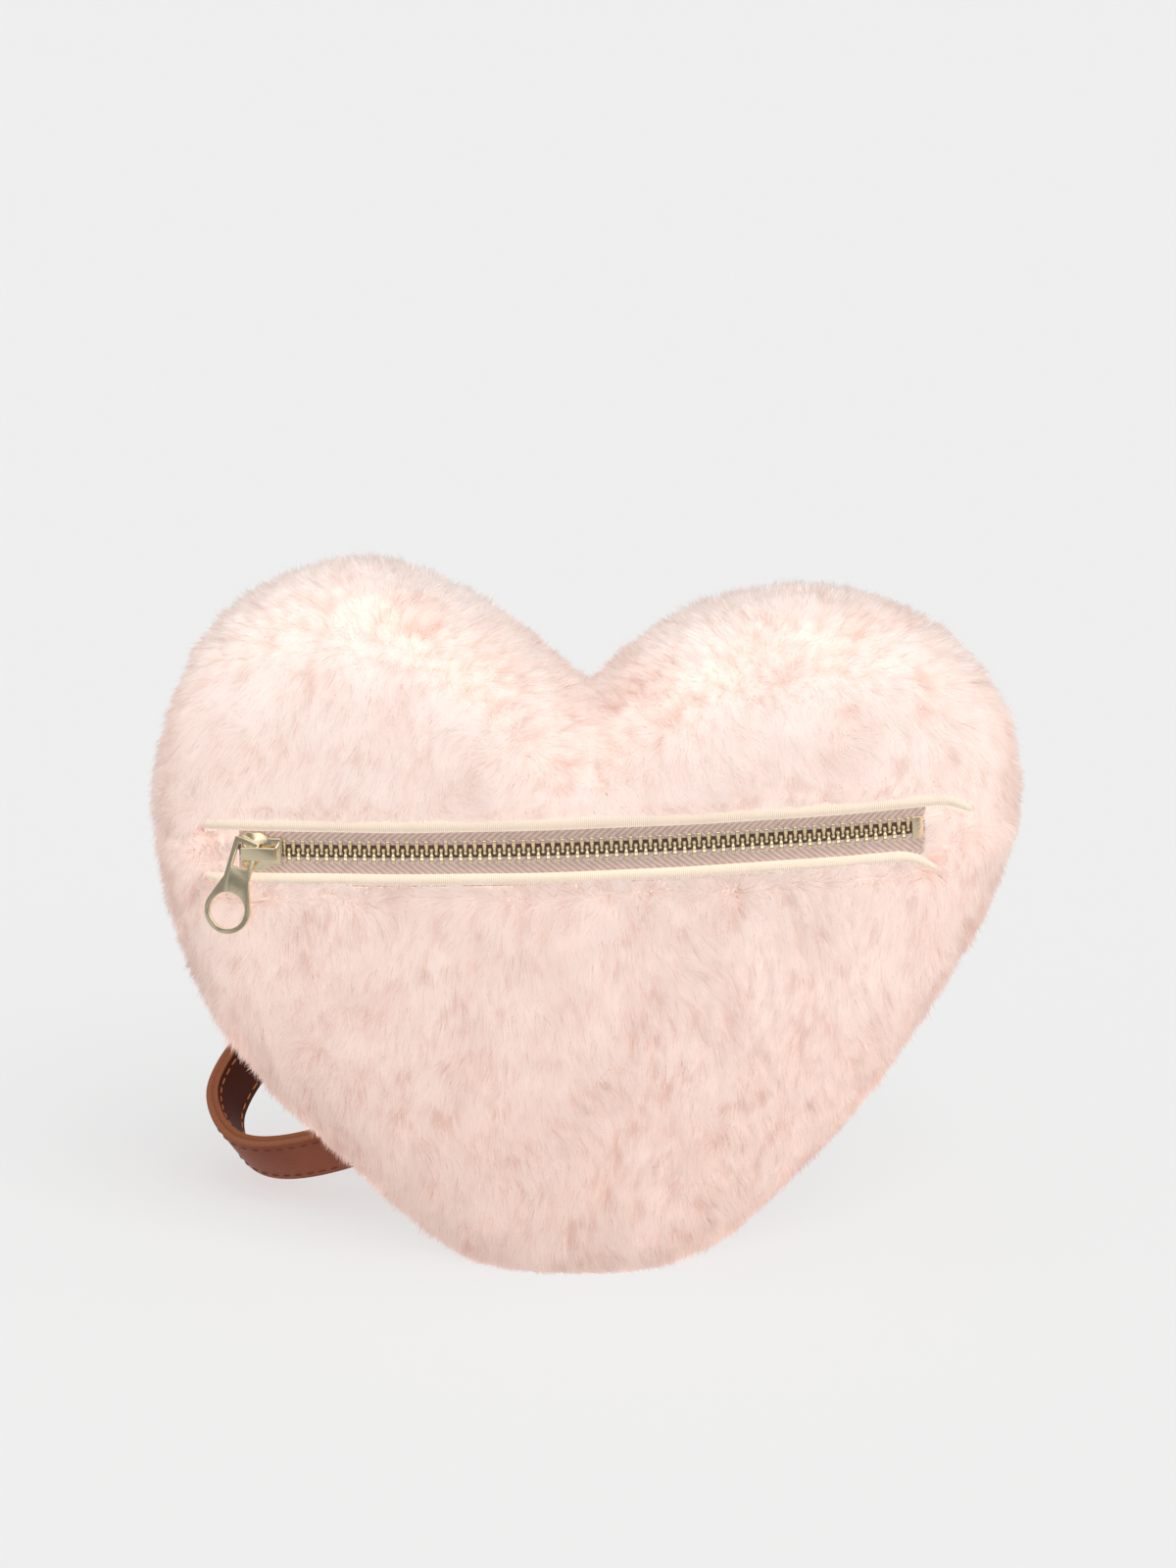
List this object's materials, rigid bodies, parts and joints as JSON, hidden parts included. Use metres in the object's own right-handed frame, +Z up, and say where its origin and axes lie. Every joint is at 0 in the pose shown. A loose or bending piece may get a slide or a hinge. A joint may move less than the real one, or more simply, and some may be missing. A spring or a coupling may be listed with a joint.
{
  "type": "heart shaped purse",
  "caption": "Plush heart shaped purse with a metal zip across the front between piping strips, and a leather wrist strap on a ring behind.",
  "frame": {"origin": "on the flat under the heart's tip, just in front of the side seam", "axes": "+Z up, +X to the right along the heart's width, -Y towards the front face with the zip; the purse stands on its tip and leans back 7 degrees"},
  "size_m": [0.2203, 0.1235, 0.1796],
  "materials": {
    "fur": "soft faux fur",
    "wadding": "soft fibre",
    "lining": "satin",
    "piping": "ribbed",
    "zip_tape": "herringbone weave",
    "zip_metal": "polished",
    "slider_metal": "polished",
    "leather": "smooth",
    "leather_lining": "smooth",
    "ring_metal": "polished"
  },
  "bodies": {
    "purse": {"front_upper_panel": "fur", "front_lower_panel": "fur", "back_panel": "fur", "wadding_front": "wadding", "wadding_back": "wadding", "lining_front": "lining", "lining_back": "lining", "piping_upper": "piping", "piping_lower": "piping", "zip_tape_upper": "zip_tape", "zip_tape_lower": "zip_tape", "zip_teeth_upper": "zip_metal", "zip_teeth_lower": "zip_metal", "zip_top_stops": "zip_metal", "zip_bottom_stop": "zip_metal", "strap_tab": "leather"},
    "slider": {"zip_slider": "slider_metal"},
    "puller": {"zip_puller": "slider_metal"},
    "ring": {"strap_ring": "ring_metal"},
    "strap": {"strap_outer": "leather", "strap_inner": "leather_lining", "strap_rivet": "ring_metal"}
  },
  "joints": [
    {"name": "slider_run", "type": "hinge", "parent": "purse", "child": "slider", "pos_m": [-0.0015, 0.26345, 0.08455], "axis": [-0.0349, 0.1218, 0.9919], "range_deg": [0, 33.46], "deforming": ["zip_teeth_upper", "zip_teeth_lower"]},
    {"name": "puller_swing", "type": "hinge", "parent": "slider", "child": "puller", "pos_m": [-0.08959, -0.00842, 0.11483], "axis": [0.2947, 0.9284, -0.2265], "range_deg": [-55, 55]},
    {"name": "ring_swing", "type": "hinge", "parent": "purse", "child": "ring", "pos_m": [0.014, 0.06051, 0.09284], "axis": [0.6428, -0.0934, -0.7603], "range_deg": [0, 75]},
    {"name": "strap_swing", "type": "hinge", "parent": "ring", "child": "strap", "pos_m": [0.00328, 0.05941, 0.08391], "axis": [0.6428, -0.0934, -0.7603], "range_deg": [0, 75]}
  ]
}
